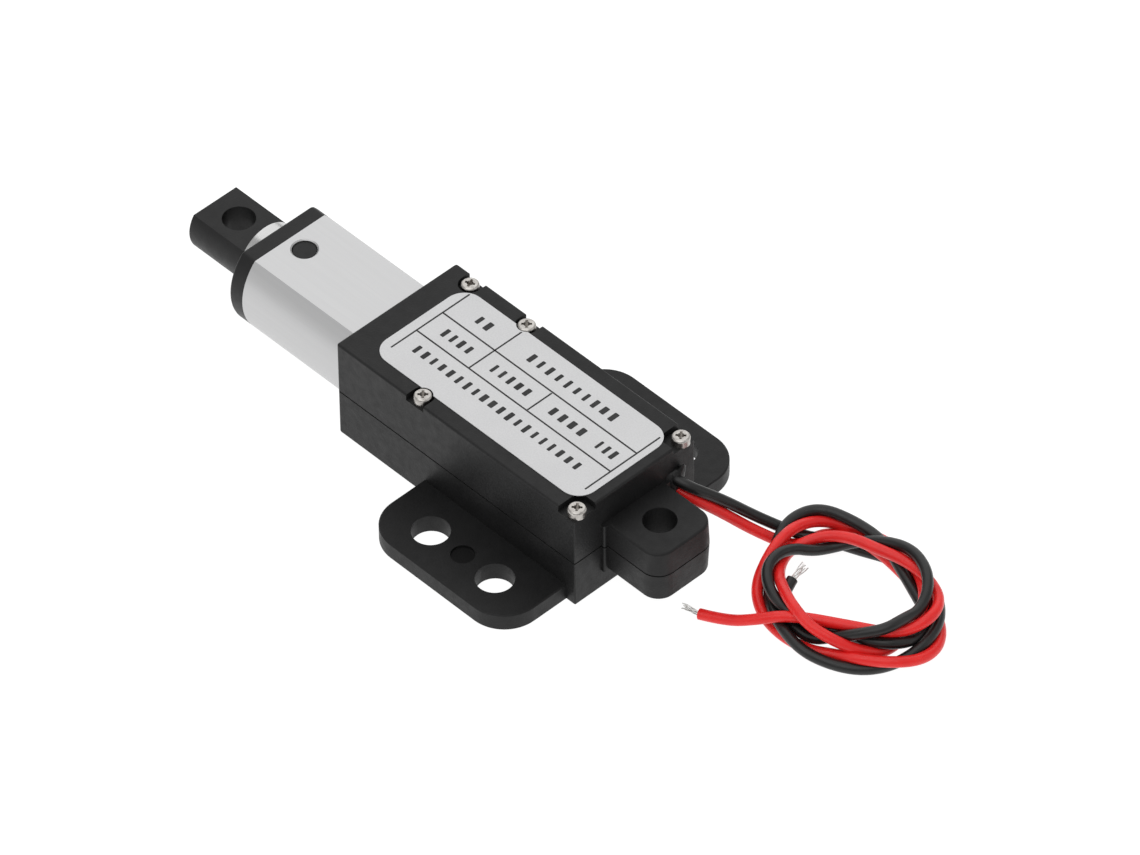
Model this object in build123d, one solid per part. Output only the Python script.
from build123d import *
from math import acos, cos, pi, radians, sin, tan
import os

# Micro linear actuator, 15 mm stroke, 73 mm between its two pivot holes when closed.
# The rod slides along +X. +Z is up. The origin is the centre of the rear pivot hole, on the rod's axis,
# so the base of the housing lies at z = BASE_Z. All lengths are in millimetres.

os.makedirs("parts", exist_ok=True)

# ---------------------------------------------------------------- driving dimensions
STROKE = 15.0
CLOSED_LENGTH = 73.0            # pivot hole to pivot hole with the rod in
SCREW_LEAD = 1.0                # rod travel per turn of the lead screw
RUNNING_GAP = 0.05              # radial clearance of sliding and turning fits
MOVING_GAP = 0.3                # clearance between parts that pass each other

# housing, two moulded shells that part on the rod's axis
REAR_X, FRONT_X = 4.25, 45.0
HALF_WIDTH = 9.85
BASE_Z, TOP_Z = -7.0, 7.8
WALL = 1.5
FLOOR_WALL = 1.3
SHELL_EDGE = 0.3                # rounding of the upper shell's outer edges
SEAT_X = 35.6                   # from here forward the shells grip the block and the tube

# mounting ears on the lower shell
EAR_X = (5.75, 30.15)
EAR_SPAN = 20.1                 # half the width over both ears
EAR_THICK = 2.5
EAR_CORNER = 5.0
EAR_HOLE_R = 2.4
EAR_HOLES_X = (12.4, 23.4)
EAR_HOLES_Y = 15.1
EJECTOR_R = 1.5                 # shallow round mark between the two holes of an ear

# rear pivot lug, half on each shell
LUG_R = 2.1                     # pivot hole
LUG_REAR_X = -4.75
LUG_HALF_WIDTH = 4.95
LUG_CORNER = 2.4
LUG_TOP, LUG_BOTTOM = 3.5, -4.1
LUG_DRAFT = 2.0                 # degrees
COLLAR_X = REAR_X - 0.55        # raised collar round the lug's root
COLLAR_HALF_WIDTH = 5.5

# housing screws, in open pockets along the top edges
SCREW_HEAD_R, SCREW_HEAD_H = 1.15, 1.1
SCREW_SHANK_R, SCREW_TIP_Z = 0.65, -3.6
SCREW_Y = 8.5
REAR_SCREW_X, MID_SCREW_X, FRONT_SCREW_X = 5.15, 31.42, 41.2
SCREWS = ((REAR_SCREW_X, 1), (REAR_SCREW_X, -1), (MID_SCREW_X, 1), (MID_SCREW_X, -1), (FRONT_SCREW_X, -1))
POCKET_FLOOR = 6.9
POCKET_HALF = 1.48
BOSS_R = 1.3

# rating label
LABEL_X = (5.7, 41.3)
LABEL_HALF_WIDTH = 7.72
LABEL_CORNER = 2.6
LABEL_THICK = 0.08

# outer tube and end cap: a round bar's profile with a flat top and bottom
TUBE_R, TUBE_FLAT = 8.0, 5.6
BORE_R, BORE_FLAT = 6.9, 4.7
TUBE_X = (39.0, 63.83)
CAP_FRONT_X = 66.15
CAP_SPIGOT_X = 59.4
WIPER_X = (65.0, 65.6)
PEG_X, PEG_R = 61.2, 1.6

# rod
ROD_R, ROD_BORE_R = 4.35, 3.2
ROD_X = (43.0, 68.4)
ROD_END_TIP = 77.35
ROD_END_FLAT = 2.6
ROD_EYE_R = 2.1
ROD_END_SPIGOT = 6.0
PIN_X = 64.9                    # cross pin through the rod and the rod end's spigot
NUT_X = (41.0, 43.0, 47.0)      # flange rear, flange front, end of the spigot in the rod

# lead screw and its bearing
SCREW_R, JOURNAL_R = 2.0, 1.5
SCREW_X = (35.0, 40.0, 61.0)    # journal, thread, tip
COUPLER_X = (33.5, 36.6)
COUPLER_R = 2.7
BEARING_X = (37.0, 39.6)
BEARING_R = 3.5
BALL_R, BALL_COUNT = 0.55, 7
BLOCK_FRONT_X = 40.6

# motor, a flat-sided can
MOTOR_X = (9.4, 22.4)
MOTOR_R, MOTOR_FLAT = 6.0, 5.0
CAN_WALL = 0.6
BELL_REAR_X = 7.4
SHAFT_R = 0.5
ROTOR_X = (12.2, 19.2)
ROTOR_R = 3.6
MAGNET_R = (3.9, 5.35)
COMMUTATOR_R = 1.3

# gear train: four stages that step back and forth between the motor's axis and the lay pin
MODULE = 0.2
PINION_TEETH, GEAR_TEETH = 9, 25
PROFILE_SHIFT = 0.45            # of the pinion, and as much off the gear
PRESSURE_ANGLE = radians(20)
CENTRES = MODULE * (PINION_TEETH + GEAR_TEETH) / 2
LAY_PIN_R = 0.42
PLATES_X = (22.4, 23.0, 31.1, 32.1)
GEAR_FACE, GEAR_PITCH = 1.7, 2.0
FIRST_GEAR_X = 23.3

# limit switches on a narrow board beside the rod
BOARD_X = (36.4, 62.4)
BOARD_Y = (-6.45, -5.95)
BOARD_HALF = 2.1
SWITCH_Y = (-5.95, -5.0)
SWITCH_HALF = 1.4
STRIKER_Y = -5.65
REAR_SWITCH_X = (38.1, 40.1)
FRONT_SWITCH_X = (59.2, 61.2)
PLUNGER_R = 0.3
PLUNGER_HOLE, PLUNGER_IN = 1.25, 0.75

# leads
WIRE_R = 0.7
INNER_LEAD_R = 0.5
INNER_LEAD_Y = -6.6
EXIT_Y = -6.35
RED_EXIT_Z, BLACK_EXIT_Z = 1.55, 3.15
WIRE_FLOOR = BASE_Z + WIRE_R    # centreline height of a wire that lies on the surface
EXIT_HOLE = (1.9, 3.9)          # width and height of the wire hole
# route of each lead from the housing to the coil, and of the red tail beyond it
BLACK_ROUTE = (
    (REAR_X, EXIT_Y, BLACK_EXIT_Z), (2.4, EXIT_Y, BLACK_EXIT_Z),
    (-0.4, -9.7, 0.5), (-3.0, -13.8, -3.9), (-7.4, -16.6, -5.6))
RED_ROUTE = (
    (REAR_X, EXIT_Y, RED_EXIT_Z), (2.4, EXIT_Y, RED_EXIT_Z),
    (-0.5, -9.1, -0.9), (-3.5, -12.3, -4.5), (-7.9, -14.9, -6.1))
RED_TAIL_ROUTE = ((-17.0, -4.6, -3.2), (-14.0, -2.2, -4.5), (-10.8, -0.5, -5.9), (-7.4, 0.75, WIRE_FLOOR))
COIL_CENTRE = (-18.0, -12.9)
COIL_OUTER = (13.0, 10.2)       # half axes of the loosely coiled pair
COIL_INNER = (7.6, 4.8)
COIL_TOP = -2.6
RED_STRANDS = ((-7.4, 0.75, WIRE_FLOOR), (-6.0, 1.1, WIRE_FLOOR), (-4.5, 1.3, WIRE_FLOOR + 0.1))
BLACK_STRANDS = ((-11.8, -9.4, -4.5), (-11.8, -10.9, -4.3), (-12.0, -12.4, -3.6))
STRAND_R = 0.4


# ---------------------------------------------------------------- shape helpers
def block(x0, x1, y0, y1, z0, z1):
    """A box between two corners."""
    return Pos((x0 + x1) / 2, (y0 + y1) / 2, (z0 + z1) / 2) * Box(abs(x1 - x0), abs(y1 - y0), abs(z1 - z0))


def rod_x(radius, x0, x1, y=0.0, z=0.0):
    """A cylinder along X."""
    return Pos((x0 + x1) / 2, y, z) * Rot(0, 90, 0) * Cylinder(radius, x1 - x0)


def rod_z(radius, z0, z1, x=0.0, y=0.0):
    """A cylinder along Z."""
    return Pos(x, y, (z0 + z1) / 2) * Cylinder(radius, z1 - z0)


def ring_x(outer, inner, x0, x1, y=0.0, z=0.0):
    return rod_x(outer, x0, x1, y, z) - rod_x(inner, x0, x1, y, z)


def flat_oval(radius, flat, x0, x1):
    """A round bar along X with its top and bottom planed flat."""
    return rod_x(radius, x0, x1) & block(x0, x1, -radius, radius, -flat, flat)


def upper(shape):
    return shape & block(-20, 60, -30, 30, 0, 20)


def lower(shape):
    return shape & block(-20, 60, -30, 30, -20, 0)


def solids(shape):
    """The solids of a shape, as one compound."""
    found = shape.solids()
    return found[0] if len(found) == 1 else Compound(children=list(found))


# ---------------------------------------------------------------- housing shells
def housing_block():
    """The outer body of both shells, with rounded corners."""
    body = block(REAR_X, FRONT_X, -HALF_WIDTH, HALF_WIDTH, BASE_Z, TOP_Z)
    upright = body.edges().filter_by(Axis.Z).group_by(Axis.X)
    body = fillet(upright[-1], 0.35)
    body = fillet(body.edges().filter_by(Axis.Z).group_by(Axis.X)[0], 0.15)
    body = fillet(body.edges().group_by(Axis.Z)[-1], SHELL_EDGE)
    return fillet(body.edges().group_by(Axis.Z)[0], 0.35)


def lug_outline(z, inset):
    """The lug's section at a height, drawn in by inset on its three free sides."""
    rear = LUG_REAR_X + inset
    depth = REAR_X + 0.6 - rear
    outline = Pos(rear + depth / 2, 0, z) * Rectangle(depth, 2 * (LUG_HALF_WIDTH - inset))
    return fillet(outline.vertices().group_by(Axis.X)[0], LUG_CORNER)


def lug(z_far):
    """One half of the rear lug, from the parting plane to z_far, with draft and a collar at its root."""
    draft = abs(z_far) * tan(radians(LUG_DRAFT))
    body = loft([lug_outline(0, 0), lug_outline(z_far, draft)])
    body = fillet(body.edges().filter_by(lambda e: abs(e.center().Z - z_far) < 0.01), 0.3)
    collar = block(COLLAR_X, REAR_X + 0.6, -COLLAR_HALF_WIDTH, COLLAR_HALF_WIDTH, 0, z_far)
    collar = fillet(collar.edges().filter_by(Axis.Z).group_by(Axis.X)[0], 0.25)
    return body + collar


def ear(side):
    """One mounting ear with two through holes and the shallow ejector mark."""
    length = EAR_X[1] - EAR_X[0]
    reach = EAR_SPAN - HALF_WIDTH + 0.6
    outline = Pos(sum(EAR_X) / 2, side * (EAR_SPAN - reach / 2)) * Rectangle(length, reach)
    outer = outline.vertices().sort_by(Axis.Y)
    outline = fillet(outer[-2:] if side > 0 else outer[:2], EAR_CORNER)
    plate = Pos(0, 0, BASE_Z) * extrude(outline, EAR_THICK)
    rim = plate.edges().filter_by(lambda e: e.center().Y * side > HALF_WIDTH + 0.3)
    plate = fillet(rim.filter_by(lambda e: e.center().Z < BASE_Z + 0.1), 0.3)
    top_rim = plate.edges().filter_by(lambda e: e.center().Z > BASE_Z + EAR_THICK - 0.05)
    plate = chamfer(top_rim.filter_by(lambda e: e.center().Y * side > HALF_WIDTH + 0.3), 0.15)
    for x in EAR_HOLES_X:
        plate -= rod_z(EAR_HOLE_R, BASE_Z - 1, BASE_Z + EAR_THICK + 1, x, side * EAR_HOLES_Y)
    top = BASE_Z + EAR_THICK
    mark = rod_z(EJECTOR_R, top - 0.3, top + 0.2, sum(EAR_HOLES_X) / 2, side * EAR_HOLES_Y)
    return plate - mark


def pockets():
    """The open pockets in the top edges that the screw heads sit in."""
    cut = None
    for x, side in SCREWS:
        outside = side * (HALF_WIDTH + 1)
        if x == REAR_SCREW_X:
            inner = side * (SCREW_Y - 2.15)
            piece = block(REAR_X - 1, x + 1.8, inner, outside, POCKET_FLOOR, TOP_Z + 1)
            corner = piece.edges().filter_by(Axis.Z).group_by(Axis.X)[-1].sort_by(lambda e: abs(e.center().Y))
            piece = fillet(corner[:1], 0.4)
        else:
            piece = rod_z(POCKET_HALF, POCKET_FLOOR, TOP_Z + 1, x, side * SCREW_Y)
            piece += block(x - POCKET_HALF, x + POCKET_HALF, side * SCREW_Y, outside, POCKET_FLOOR, TOP_Z + 1)
        cut = piece if cut is None else cut + piece
    return cut


def cavity():
    """The hollow inside the shells: a room for the motor and gears, then the seat of the block and tube."""
    side = HALF_WIDTH - WALL
    room = block(REAR_X + WALL, SEAT_X - 1.0, -side, side, BASE_Z + FLOOR_WALL, TOP_Z - WALL)
    seat = flat_oval(TUBE_R + 0.02, TUBE_FLAT + 0.02, SEAT_X, FRONT_X + 1)
    window = rod_x(COUPLER_R + 0.6, SEAT_X - 1.2, SEAT_X + 0.2)
    window += block(SEAT_X - 1.2, SEAT_X + 0.2, -7.6, -4.6, -2.4, 2.4)
    return room + seat + window


def bosses():
    """Columns around the screws, inside the walls."""
    columns = None
    for x, side in SCREWS:
        column = rod_z(BOSS_R, BASE_Z + 0.5, POCKET_FLOOR, x, side * SCREW_Y)
        columns = column if columns is None else columns + column
    return columns & block(REAR_X, FRONT_X, -HALF_WIDTH, HALF_WIDTH, BASE_Z, TOP_Z)


def cradle():
    """Ribs that hold the motor can and the gearbox, open on the far side where the inner leads pass."""
    ribs = None
    for x in (11.0, 20.0, 30.6):
        rib = block(x, x + 1.2, -5.6, HALF_WIDTH - 1, BASE_Z + 0.5, TOP_Z - 0.5)
        ribs = rib if ribs is None else ribs + rib
    hollow = flat_oval(MOTOR_R + 0.02, MOTOR_FLAT + 0.02, 9.0, 24.0)
    hollow += block(23.5, 34.0, -MOTOR_R - 0.02, MOTOR_R + 0.02, -MOTOR_FLAT - 0.02, MOTOR_FLAT + 0.02)
    return ribs - hollow


def parting_groove():
    """A fine V-like step all round the outside, where the two shells meet."""
    inset = 0.08
    core = block(REAR_X + inset, FRONT_X + 2, -HALF_WIDTH + inset, HALF_WIDTH - inset, -1, 1)
    core += extrude(lug_outline(-1, inset), 2)
    side = COLLAR_HALF_WIDTH - inset
    core += block(COLLAR_X + inset, REAR_X + 1, -side, side, -1, 1)
    return block(LUG_REAR_X - 1, FRONT_X + 1, -HALF_WIDTH - 1, HALF_WIDTH + 1, -0.1, 0.1) - core


def wire_hole():
    width, height = EXIT_HOLE
    z = (RED_EXIT_Z + BLACK_EXIT_Z) / 2
    low, high = z - height / 2, z + height / 2
    hole = block(REAR_X - 1, REAR_X + WALL + 0.5, EXIT_Y - width / 2, EXIT_Y + width / 2, low, high)
    return fillet(hole.edges().filter_by(Axis.X), 0.85)


def shell(half, lug_end):
    body = half(housing_block())
    body = body - half(cavity())
    body += half(bosses()) + half(cradle())
    seat = flat_oval(TUBE_R + 0.02, TUBE_FLAT + 0.02, SEAT_X, FRONT_X + 1)
    body -= half(seat - rod_z(BOSS_R, -8, 8, FRONT_SCREW_X, -SCREW_Y))
    body += lug(lug_end)
    body -= rod_z(LUG_R, -8, 8)
    return body - parting_groove()


def upper_shell():
    body = shell(upper, LUG_TOP) - pockets() - wire_hole()
    for x, side in SCREWS:
        body -= rod_z(SCREW_SHANK_R + 0.1, -1, 9, x, side * SCREW_Y)
    return solids(body)


def lower_shell():
    body = shell(lower, LUG_BOTTOM) + ear(1) + ear(-1)
    for x, side in SCREWS:
        body -= rod_z(SCREW_SHANK_R, SCREW_TIP_Z - 0.6, 1, x, side * SCREW_Y)
    return solids(body - wire_hole())


def housing_screws():
    """Five self-tapping screws with domed heads and a cross recess."""
    group = []
    for x, side in SCREWS:
        head = rod_z(SCREW_HEAD_R, POCKET_FLOOR, POCKET_FLOOR + SCREW_HEAD_H, x, side * SCREW_Y)
        head = fillet(head.edges().group_by(Axis.Z)[-1], 0.35)
        top = POCKET_FLOOR + SCREW_HEAD_H
        head -= Pos(x, side * SCREW_Y, top - 0.35) * Cone(0.12, 0.42, 0.72)
        for turn in (0, 90):
            slot = Pos(x, side * SCREW_Y, top - 0.3) * Rot(0, 0, turn + 5 + 7 * x) * Box(1.3, 0.32, 0.62)
            head -= slot
        shank = rod_z(SCREW_SHANK_R, SCREW_TIP_Z, POCKET_FLOOR, x, side * SCREW_Y)
        group.append((head + chamfer(shank.edges().group_by(Axis.Z)[0], 0.3)).solid())
    return Compound(children=group)


def rating_label():
    """A thin rounded sheet stuck on the upper shell, cut clear of the screw heads."""
    outline = Pos(sum(LABEL_X) / 2, 0) * Rectangle(LABEL_X[1] - LABEL_X[0], 2 * LABEL_HALF_WIDTH)
    sheet = Pos(0, 0, TOP_Z) * extrude(fillet(outline.vertices(), LABEL_CORNER), LABEL_THICK)
    for x, side in SCREWS:
        sheet -= rod_z(SCREW_HEAD_R + 0.1, TOP_Z - 1, TOP_Z + 1, x, side * SCREW_Y)
    return sheet.solid()


# ---------------------------------------------------------------- tube, cap and bearings
def outer_tube():
    """Extruded tube with the peg holes and the notch that the front housing screw's boss locks."""
    tube = flat_oval(TUBE_R, TUBE_FLAT, *TUBE_X) - flat_oval(BORE_R, BORE_FLAT, TUBE_X[0] - 1, TUBE_X[1] + 1)
    tube -= rod_z(PEG_R, -9, 9, PEG_X)
    for side in (1, -1):
        tube -= Pos(PEG_X, 0, side * (TUBE_FLAT - 0.06)) * Cone(
            PEG_R + (0.02 if side > 0 else 0.16), PEG_R + (0.16 if side > 0 else 0.02), 0.14)
    return (tube - rod_z(BOSS_R + 0.05, -9, 9, FRONT_SCREW_X, -SCREW_Y)).solid()


def end_cap():
    plate = flat_oval(TUBE_R, TUBE_FLAT, TUBE_X[1], CAP_FRONT_X)
    plate = fillet(plate.edges().filter_by(Axis.X), 0.7)
    plate = fillet(plate.edges().group_by(Axis.X)[-1], 0.35)
    spigot = flat_oval(BORE_R - 0.02, BORE_FLAT - 0.02, CAP_SPIGOT_X, TUBE_X[1])
    spigot -= block(CAP_SPIGOT_X - 1, TUBE_X[1], -8, -4.9, -2.5, 2.5)
    cap = plate + spigot
    cap -= rod_x(ROD_R + 0.65, TUBE_X[1], WIPER_X[1])
    cap -= rod_x(ROD_R + 0.1, CAP_SPIGOT_X - 1, CAP_FRONT_X + 1)
    cap -= rod_z(PEG_R, 4.0, 9, PEG_X)
    return (cap - rod_z(PEG_R, -9, -4.0, PEG_X)).solid()


def cap_pegs():
    """Two plastic pegs that lock the cap's spigot in the tube, seen in the holes of the flats."""
    def peg(side):
        ends = sorted((side * (ROD_R + 0.1), side * (TUBE_FLAT - 0.25)))
        body = rod_z(PEG_R, *ends, PEG_X)
        return chamfer(body.edges().group_by(Axis.Z)[-1 if side > 0 else 0], 0.15).solid()

    return Compound(children=[peg(1), peg(-1)])


def guide_bush():
    """Sintered bush that the rod slides in."""
    return ring_x(ROD_R + 0.65, ROD_R + RUNNING_GAP, TUBE_X[1], WIPER_X[0]).solid()


def rod_wiper():
    """Lip seal between the bush and the cap's front."""
    ring = ring_x(ROD_R + 0.65, ROD_R + RUNNING_GAP, *WIPER_X)
    return chamfer(ring.edges().group_by(Axis.X)[-1].sort_by(SortBy.LENGTH)[0], 0.2).solid()


def bearing_block():
    """Die-cast block behind the tube that holds the screw's bearing and takes the thrust."""
    body = flat_oval(TUBE_R, TUBE_FLAT, SEAT_X, TUBE_X[0])
    body += flat_oval(BORE_R - 0.02, BORE_FLAT - 0.02, TUBE_X[0], BLOCK_FRONT_X)
    body -= rod_x(BEARING_R, SEAT_X - 1, BEARING_X[1])
    body -= rod_x(SCREW_R + 0.5, SEAT_X, BLOCK_FRONT_X + 1)
    return (body - block(SEAT_X - 1, BLOCK_FRONT_X + 1, -9, -4.6, -3, 3)).solid()


def race(outer, inner, groove):
    ring = ring_x(outer, inner, *BEARING_X)
    return (ring - Pos(sum(BEARING_X) / 2, 0, 0) * Rot(0, 90, 0) * Torus(groove, BALL_R + 0.02)).solid()


BALL_CIRCLE = 2.5


def bearing_outer_ring():
    return race(BEARING_R, 2.85, BALL_CIRCLE)


def bearing_inner_ring():
    return race(2.15, JOURNAL_R, BALL_CIRCLE)


def around_bearing(k):
    """The place of one ball in the bearing."""
    return Pos(sum(BEARING_X) / 2, 0, 0) * Rot(360 * k / BALL_COUNT, 0, 0) * Pos(0, 0, BALL_CIRCLE)


def bearing_balls():
    return Compound(children=[(around_bearing(k) * Sphere(BALL_R)).solid() for k in range(BALL_COUNT)])


def ball_cage():
    ring = ring_x(2.7, 2.3, BEARING_X[0] + 0.3, BEARING_X[1] - 0.3)
    for k in range(BALL_COUNT):
        ring -= around_bearing(k) * Cylinder(BALL_R + 0.04, 1.4)
    return ring.solid()


# ---------------------------------------------------------------- rod
def push_rod():
    rod = ring_x(ROD_R, ROD_BORE_R, *ROD_X) - rod_z(0.6, -9, 9, PIN_X)
    return chamfer(rod.edges().group_by(Axis.X)[-1].sort_by(SortBy.LENGTH)[-1], 0.12).solid()


def rod_end():
    """Moulded eye with flats above and below, plugged into the front of the rod."""
    body = flat_oval(ROD_R, ROD_END_FLAT, ROD_X[1], ROD_END_TIP)
    body = fillet(body.edges().group_by(Axis.X)[-1], 0.12)
    body += rod_x(ROD_BORE_R, ROD_X[1] - ROD_END_SPIGOT, ROD_X[1])
    body -= rod_z(ROD_EYE_R, -9, 9, CLOSED_LENGTH)
    return (body - rod_z(0.6, -9, 9, PIN_X)).solid()


def rod_end_pin():
    """Cross pin that keeps the rod end in the rod."""
    return rod_z(0.6, -ROD_R + 0.1, ROD_R - 0.1, PIN_X).solid()


def drive_nut():
    """Nut with a flat-sided flange that the tube keeps from turning, and the tab that trips the switches."""
    flange = flat_oval(BORE_R - RUNNING_GAP, BORE_FLAT - RUNNING_GAP, NUT_X[0], NUT_X[1])
    flange -= block(NUT_X[0] - 1, NUT_X[1] + 1, -9, -4.7, -9, 9)
    tab = block(NUT_X[0], NUT_X[1], STRIKER_Y, -4.5, -1.0, 1.0)
    body = flange + tab + rod_x(ROD_BORE_R, NUT_X[1] - 0.1, NUT_X[2])
    return (body - rod_x(SCREW_R + RUNNING_GAP, NUT_X[0] - 1, NUT_X[2] + 1)).solid()


# ---------------------------------------------------------------- screw line
def lead_screw():
    screw = rod_x(JOURNAL_R, SCREW_X[0], SCREW_X[1]) + rod_x(SCREW_R, SCREW_X[1], SCREW_X[2])
    return chamfer(screw.edges().group_by(Axis.X)[-1], 0.4).solid()


def screw_coupler():
    """Sleeve that joins the gearbox shaft to the screw, with its two cross pins in line along Z."""
    sleeve = ring_x(COUPLER_R, JOURNAL_R, *COUPLER_X)
    for x in (34.3, 35.8):
        sleeve -= rod_z(0.35, -4, 4, x)
    return sleeve.solid()


def coupler_pins():
    return Compound(children=[(rod_z(0.35, JOURNAL_R, COUPLER_R - 0.1, x)).solid() for x in (34.3, 35.8)])


def thrust_washer():
    return ring_x(2.15, JOURNAL_R, COUPLER_X[1], BEARING_X[0]).solid()


# ---------------------------------------------------------------- gears
def involute(radius):
    """The involute function of the pressure angle where the flank passes this radius, and that angle."""
    return tan(radius) - radius


def gear_face(teeth, shift, phase):
    """A spur gear's outline, with involute flanks above the base circle and radial ones below it."""
    pitch_r = MODULE * teeth / 2
    base_r = pitch_r * cos(PRESSURE_ANGLE)
    tip_r = pitch_r + MODULE * (0.88 + shift)
    root_r = pitch_r - MODULE * (1.25 - shift)
    backlash = 0.014
    half = pi / (2 * teeth) + 2 * shift * tan(PRESSURE_ANGLE) / teeth - backlash / pitch_r
    start_r = max(base_r, root_r)
    radii = [start_r + (tip_r - start_r) * k / 4 for k in range(5)]
    flank = [(r, half + involute(PRESSURE_ANGLE) - involute(acos(base_r / r))) for r in radii]
    points = []
    for tooth in range(teeth):
        centre = phase + 2 * pi * tooth / teeth
        side = [(root_r, flank[0][1])] + flank if root_r < base_r - 0.01 else flank
        for r, a in side:
            points.append((r * cos(centre - a), r * sin(centre - a)))
        for r, a in reversed(side):
            points.append((r * cos(centre + a), r * sin(centre + a)))
    return make_face(Polyline(*points, close=True))


def gear(teeth, shift, phase, x0, x1, y, bore):
    """A spur gear along X. phase is the direction of one tooth's middle, measured from +Y towards +Z."""
    wheel = extrude(gear_face(teeth, shift, phase), x1 - x0)
    wheel = Plane(origin=(x0, y, 0), x_dir=(0, 1, 0), z_dir=(1, 0, 0)) * wheel
    return wheel - rod_x(bore, x0 - 1, x1 + 1, y) if bore else wheel


def stage_x(stage):
    return FIRST_GEAR_X + stage * GEAR_PITCH


def meshed_gear(stage, y, toward, bore):
    """The large gear of a stage, with a tooth space facing the pinion that drives it."""
    space = toward + pi / GEAR_TEETH
    return gear(GEAR_TEETH, -PROFILE_SHIFT, space, stage_x(stage), stage_x(stage) + GEAR_FACE, y, bore)


def pinion(stage, y, toward, bore, x0):
    """The small gear that drives a stage, with a tooth facing the large one."""
    return gear(PINION_TEETH, PROFILE_SHIFT, toward, x0, stage_x(stage) + GEAR_FACE, y, bore)


def cluster(stage, y, toward):
    """The large gear of one stage and the pinion of the next, in one piece on a pin."""
    bore = LAY_PIN_R + 0.03
    wheel = meshed_gear(stage, y, toward, bore)
    return (wheel + pinion(stage + 1, y, toward, bore, stage_x(stage) + GEAR_FACE - 0.05)).solid()


def motor_pinion():
    return pinion(0, 0, 0, SHAFT_R, stage_x(0)).solid()


def output_gear():
    return meshed_gear(3, 0, 0, 1.0).solid()


def output_shaft():
    shaft = rod_x(LAY_PIN_R, stage_x(1) - 0.1, stage_x(3)) + rod_x(1.0, stage_x(3), PLATES_X[2] - 0.1)
    return (shaft + rod_x(JOURNAL_R, PLATES_X[2] - 0.1, SCREW_X[0])).solid()


PILLARS = ((-4.7, 3.8), (-4.7, -3.8), (4.9, 4.0), (4.9, -4.0))


def gear_plate(x0, x1, hole):
    plate = block(x0, x1, -MOTOR_R, MOTOR_R, -MOTOR_FLAT, MOTOR_FLAT)
    plate = fillet(plate.edges().filter_by(Axis.X), 0.8)
    plate -= rod_x(hole, x0 - 1, x1 + 1)
    return (plate - rod_x(LAY_PIN_R, x0 - 1, x1 + 1, CENTRES)).solid()


def gearbox_pillars():
    return Compound(children=[rod_x(0.6, PLATES_X[1], PLATES_X[2], y, z).solid() for y, z in PILLARS])


def output_bush():
    bush = ring_x(2.4, JOURNAL_R + RUNNING_GAP, PLATES_X[2], PLATES_X[3] + 0.9)
    return bush.solid()


def lay_pin():
    return rod_x(LAY_PIN_R, PLATES_X[0], PLATES_X[3], CENTRES).solid()


# ---------------------------------------------------------------- motor
def motor_can():
    can = flat_oval(MOTOR_R, MOTOR_FLAT, *MOTOR_X)
    can -= flat_oval(MOTOR_R - CAN_WALL, MOTOR_FLAT - CAN_WALL, MOTOR_X[0] - 1, MOTOR_X[1] - CAN_WALL)
    return (can - rod_x(1.2, MOTOR_X[1] - 2, MOTOR_X[1] + 1)).solid()


def motor_bush():
    return ring_x(1.2, SHAFT_R + 0.03, MOTOR_X[1] - 1.4, MOTOR_X[1]).solid()


def motor_end_bell():
    bell = flat_oval(MOTOR_R, MOTOR_FLAT, BELL_REAR_X, MOTOR_X[0])
    bell += flat_oval(MOTOR_R - CAN_WALL, MOTOR_FLAT - CAN_WALL, MOTOR_X[0] - 0.1, MOTOR_X[0] + 0.6)
    bell -= rod_x(SHAFT_R + 0.03, BELL_REAR_X + 0.6, MOTOR_X[0] + 1)
    bell -= block(MOTOR_X[0] - 0.4, MOTOR_X[0] + 1, -2.4, 2.4, -1.6, 1.6)
    for side in (1, -1):
        bell -= block(BELL_REAR_X - 1, MOTOR_X[0] + 1, side * 3.35, side * 3.75, -0.9, 0.9)
    return bell.solid()


def motor_terminals():
    """Two solder tabs that carry on inside as the brush arms."""
    return Compound(children=[
        block(BELL_REAR_X - 1.4, MOTOR_X[0] + 0.6, side * 3.35, side * 3.75, -0.9, 0.9).solid()
        for side in (1, -1)])


def motor_brushes():
    """Two carbon brushes that run on the commutator."""
    group = []
    for side in (1, -1):
        arm = block(MOTOR_X[0] + 0.6, MOTOR_X[0] + 1.8, side * (COMMUTATOR_R + 0.03), side * 3.6, -0.6, 0.6)
        group.append((arm - rod_x(COMMUTATOR_R + 0.03, 8, 13)).solid())
    return Compound(children=group)


def motor_magnets():
    """Two arc magnets on the round sides of the can."""
    ring = ring_x(MAGNET_R[1], MAGNET_R[0], ROTOR_X[0] - 0.6, ROTOR_X[1] + 0.6)
    return Compound(children=[
        (ring & block(0, 40, side * 1.6, side * 9, -3.6, 3.6)).solid() for side in (1, -1)])


def motor_shaft():
    return rod_x(SHAFT_R, BELL_REAR_X + 0.9, stage_x(0) + GEAR_FACE + 0.1).solid()


def rotor_core():
    """Three-pole laminated core."""
    core = ring_x(ROTOR_R, SHAFT_R, *ROTOR_X)
    for k in range(3):
        turn = Rot(60 + 120 * k, 0, 0)
        core -= turn * block(ROTOR_X[0] - 1, ROTOR_X[1] + 1, 1.5, 2.9, -1.7, 1.7)
        core -= turn * block(ROTOR_X[0] - 1, ROTOR_X[1] + 1, 2.8, 5, -0.35, 0.35)
    return core.solid()


def rotor_windings():
    """The wire bundles in the slots, with the overhang at both ends."""
    group = []
    for k in range(3):
        turn = Rot(60 + 120 * k, 0, 0)
        group.append((turn * block(ROTOR_X[0] - 0.5, ROTOR_X[1] + 0.5, 1.55, 2.75, -1.6, 1.6)).solid())
    return Compound(children=group)


def commutator():
    return ring_x(COMMUTATOR_R, SHAFT_R, MOTOR_X[0] + 0.5, MOTOR_X[0] + 2.0).solid()


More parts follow.
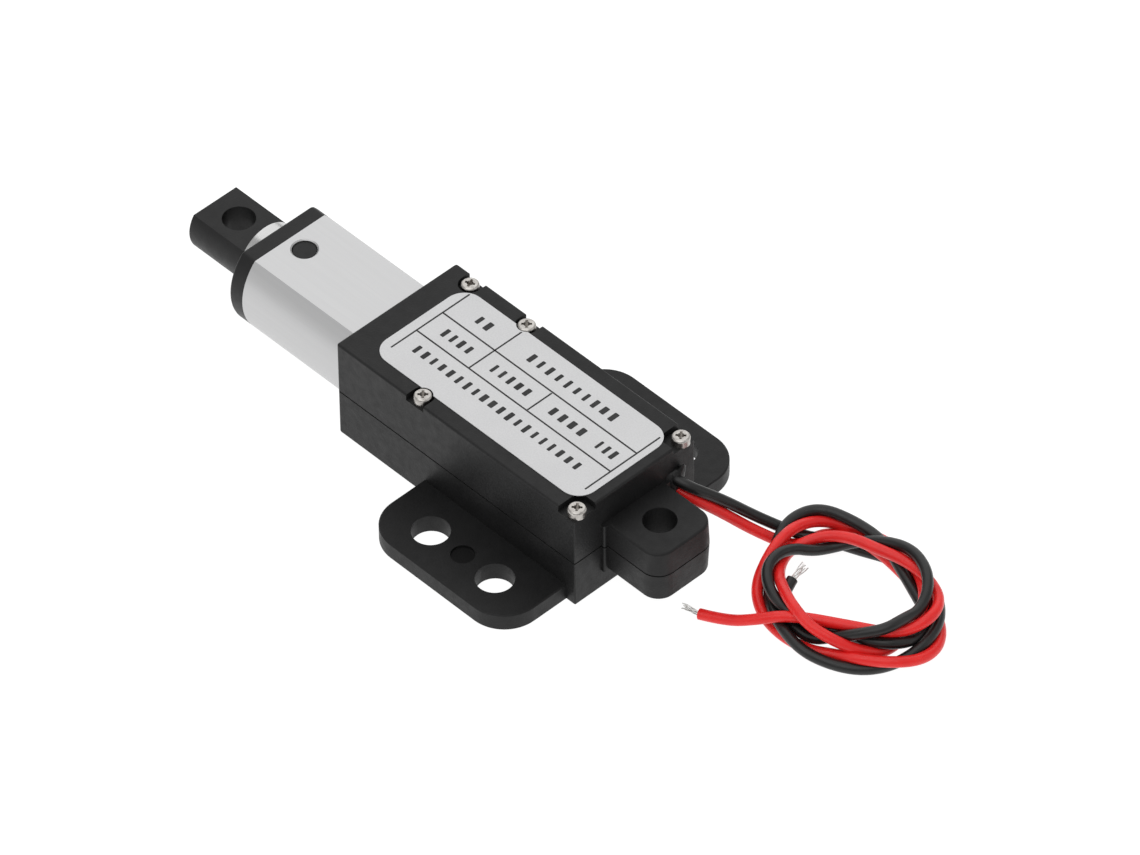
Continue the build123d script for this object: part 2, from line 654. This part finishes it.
# ---------------------------------------------------------------- board and switches
def switch_board():
    return block(*BOARD_X, *BOARD_Y, -BOARD_HALF, BOARD_HALF).solid()


def switch_body(x0, x1):
    body = block(x0, x1, *SWITCH_Y, -SWITCH_HALF, SWITCH_HALF)
    hole = (x0 - 1, x0 + PLUNGER_HOLE) if x0 > 50 else (x1 - PLUNGER_HOLE, x1 + 1)
    return (body - rod_x(PLUNGER_R + 0.04, *hole, sum(SWITCH_Y) / 2)).solid()


def switch_plunger(tip_x, inner_x):
    x0, x1 = sorted((tip_x, inner_x))
    return rod_x(PLUNGER_R, x0, x1, sum(SWITCH_Y) / 2).solid()


def board_diodes():
    """The two steering diodes that let the motor run back off a tripped switch."""
    return Compound(children=[block(x, x + 1.9, -6.8, BOARD_Y[0], -0.55, 0.55).solid() for x in (44.0, 47.0)])


# ---------------------------------------------------------------- leads
def rounded_path(route, name):
    """Straight runs joined by tangent arcs, each as large as its two runs allow."""
    points = [Vector(*p) for p in route]
    radii = []
    for before, at, after in zip(points, points[1:], points[2:]):
        half_turn = radians((at - before).get_angle(after - at)) / 2
        radii.append(0.45 * min((at - before).length, (after - at).length) / tan(half_turn))
    print(name, "arc radii", [round(r, 1) for r in radii])
    return FilletPolyline(*points, radius=radii)


def lead(route, name, radius=WIRE_R):
    """A wire's tube along a route, with its volume set against section times length."""
    path = rounded_path(route, name)
    profile = Plane(origin=path @ 0, z_dir=path % 0) * Circle(radius)
    tube = sweep(profile, path=path).solid()
    ratio = tube.volume / (pi * radius ** 2 * path.length)
    print(name, "length", round(path.length, 2), "volume ratio", round(ratio, 4))
    return tube


def inner_lead(z, end_z, name):
    """A wire from the exit hole forward past the motor to the board, lying in the gap beside the can."""
    route = (
        (REAR_X, EXIT_Y, z),
        (9.0, EXIT_Y, z),
        (19.0, INNER_LEAD_Y - 0.1, (z + end_z) / 2),
        (32.5, INNER_LEAD_Y, end_z),
        (BOARD_X[0], sum(BOARD_Y) / 2, end_z),
    )
    return lead(route, name, INNER_LEAD_R)


def lead_coil():
    """The outer shape of the loosely coiled pair."""
    section = Pos(*COIL_CENTRE) * (Ellipse(*COIL_OUTER) - Ellipse(*COIL_INNER))
    ring = Pos(0, 0, BASE_Z) * extrude(section, COIL_TOP - BASE_Z)
    return fillet(ring.edges(), 1.4).solid()


def outside_coil(wire, coil):
    """The part of a wire that lies outside the coil."""
    rest = wire - coil
    return max(rest.solids(), key=lambda s: s.volume)


def wire_sealant(leads):
    """The bead of sealant that fills the wire hole and stands proud of the rear face."""
    width, height = EXIT_HOLE
    z = (RED_EXIT_Z + BLACK_EXIT_Z) / 2
    low, high = z - height / 2, z + height / 2
    plug = block(REAR_X, REAR_X + WALL, EXIT_Y - width / 2, EXIT_Y + width / 2, low, high)
    plug = fillet(plug.edges().filter_by(Axis.X), 0.85)
    bead = Pos(REAR_X, EXIT_Y - 0.5, z + 0.5) * scale(Sphere(1).solid(), by=(0.9, 1.7, 2.3))
    body = (Part() + plug + bead) & block(0, REAR_X + WALL, -20, -COLLAR_HALF_WIDTH - 0.05, -9, 9)
    shell_wall = block(REAR_X, REAR_X + 9, -20, 20, -9, 9) - plug
    body -= shell_wall
    for wire in leads:
        body -= Part() + wire
    return max(body.solids(), key=lambda s: s.volume)


def strands(route):
    """The bared end of a lead."""
    return lead(route, "strands", STRAND_R)


# ---------------------------------------------------------------- write one file per piece
def build():
    coil = lead_coil()
    black_lead = outside_coil(lead(BLACK_ROUTE, "black_lead"), coil)
    red_lead = outside_coil(lead(RED_ROUTE, "red_lead"), coil)
    red_inner = inner_lead(RED_EXIT_Z, -0.8, "red_inner_lead")
    black_inner = inner_lead(BLACK_EXIT_Z, 0.8, "black_inner_lead")
    rear_tip = NUT_X[0] - MOVING_GAP
    front_tip = NUT_X[1] + STROKE + MOVING_GAP
    return {
        "lower_shell": lower_shell(),
        "upper_shell": upper_shell(),
        "housing_screws": housing_screws(),
        "rating_label": rating_label(),
        "outer_tube": outer_tube(),
        "end_cap": end_cap(),
        "cap_pegs": cap_pegs(),
        "guide_bush": guide_bush(),
        "rod_wiper": rod_wiper(),
        "bearing_block": bearing_block(),
        "bearing_outer_ring": bearing_outer_ring(),
        "bearing_inner_ring": bearing_inner_ring(),
        "bearing_balls": bearing_balls(),
        "ball_cage": ball_cage(),
        "push_rod": push_rod(),
        "rod_end": rod_end(),
        "rod_end_pin": rod_end_pin(),
        "drive_nut": drive_nut(),
        "lead_screw": lead_screw(),
        "screw_coupler": screw_coupler(),
        "coupler_pins": coupler_pins(),
        "thrust_washer": thrust_washer(),
        "motor_pinion": motor_pinion(),
        "idler_gear_1": cluster(0, CENTRES, pi),
        "idler_gear_2": cluster(1, 0, 0),
        "idler_gear_3": cluster(2, CENTRES, pi),
        "output_gear": output_gear(),
        "output_shaft": output_shaft(),
        "gearbox_rear_plate": gear_plate(PLATES_X[0], PLATES_X[1], 1.3),
        "gearbox_front_plate": gear_plate(PLATES_X[2], PLATES_X[3], 2.4),
        "gearbox_pillars": gearbox_pillars(),
        "output_bush": output_bush(),
        "lay_pin": lay_pin(),
        "motor_can": motor_can(),
        "motor_bush": motor_bush(),
        "motor_end_bell": motor_end_bell(),
        "motor_terminals": motor_terminals(),
        "motor_brushes": motor_brushes(),
        "motor_magnets": motor_magnets(),
        "motor_shaft": motor_shaft(),
        "rotor_core": rotor_core(),
        "rotor_windings": rotor_windings(),
        "commutator": commutator(),
        "switch_board": switch_board(),
        "board_diodes": board_diodes(),
        "rear_limit_switch": switch_body(*REAR_SWITCH_X),
        "front_limit_switch": switch_body(*FRONT_SWITCH_X),
        "rear_switch_plunger": switch_plunger(rear_tip, REAR_SWITCH_X[1] - PLUNGER_IN),
        "front_switch_plunger": switch_plunger(front_tip, FRONT_SWITCH_X[0] + PLUNGER_IN),
        "red_inner_lead": red_inner,
        "black_inner_lead": black_inner,
        "wire_sealant": wire_sealant([black_lead, red_lead, red_inner, black_inner]),
        "black_lead": black_lead,
        "red_lead": red_lead,
        "lead_coil": coil,
        "red_tail": outside_coil(lead(RED_TAIL_ROUTE, "red_tail"), coil),
        "red_tail_strands": strands(RED_STRANDS),
        "black_tail_strands": outside_coil(strands(BLACK_STRANDS), coil),
    }


for node, shape in build().items():
    export_step(shape, f"parts/{node}.step")
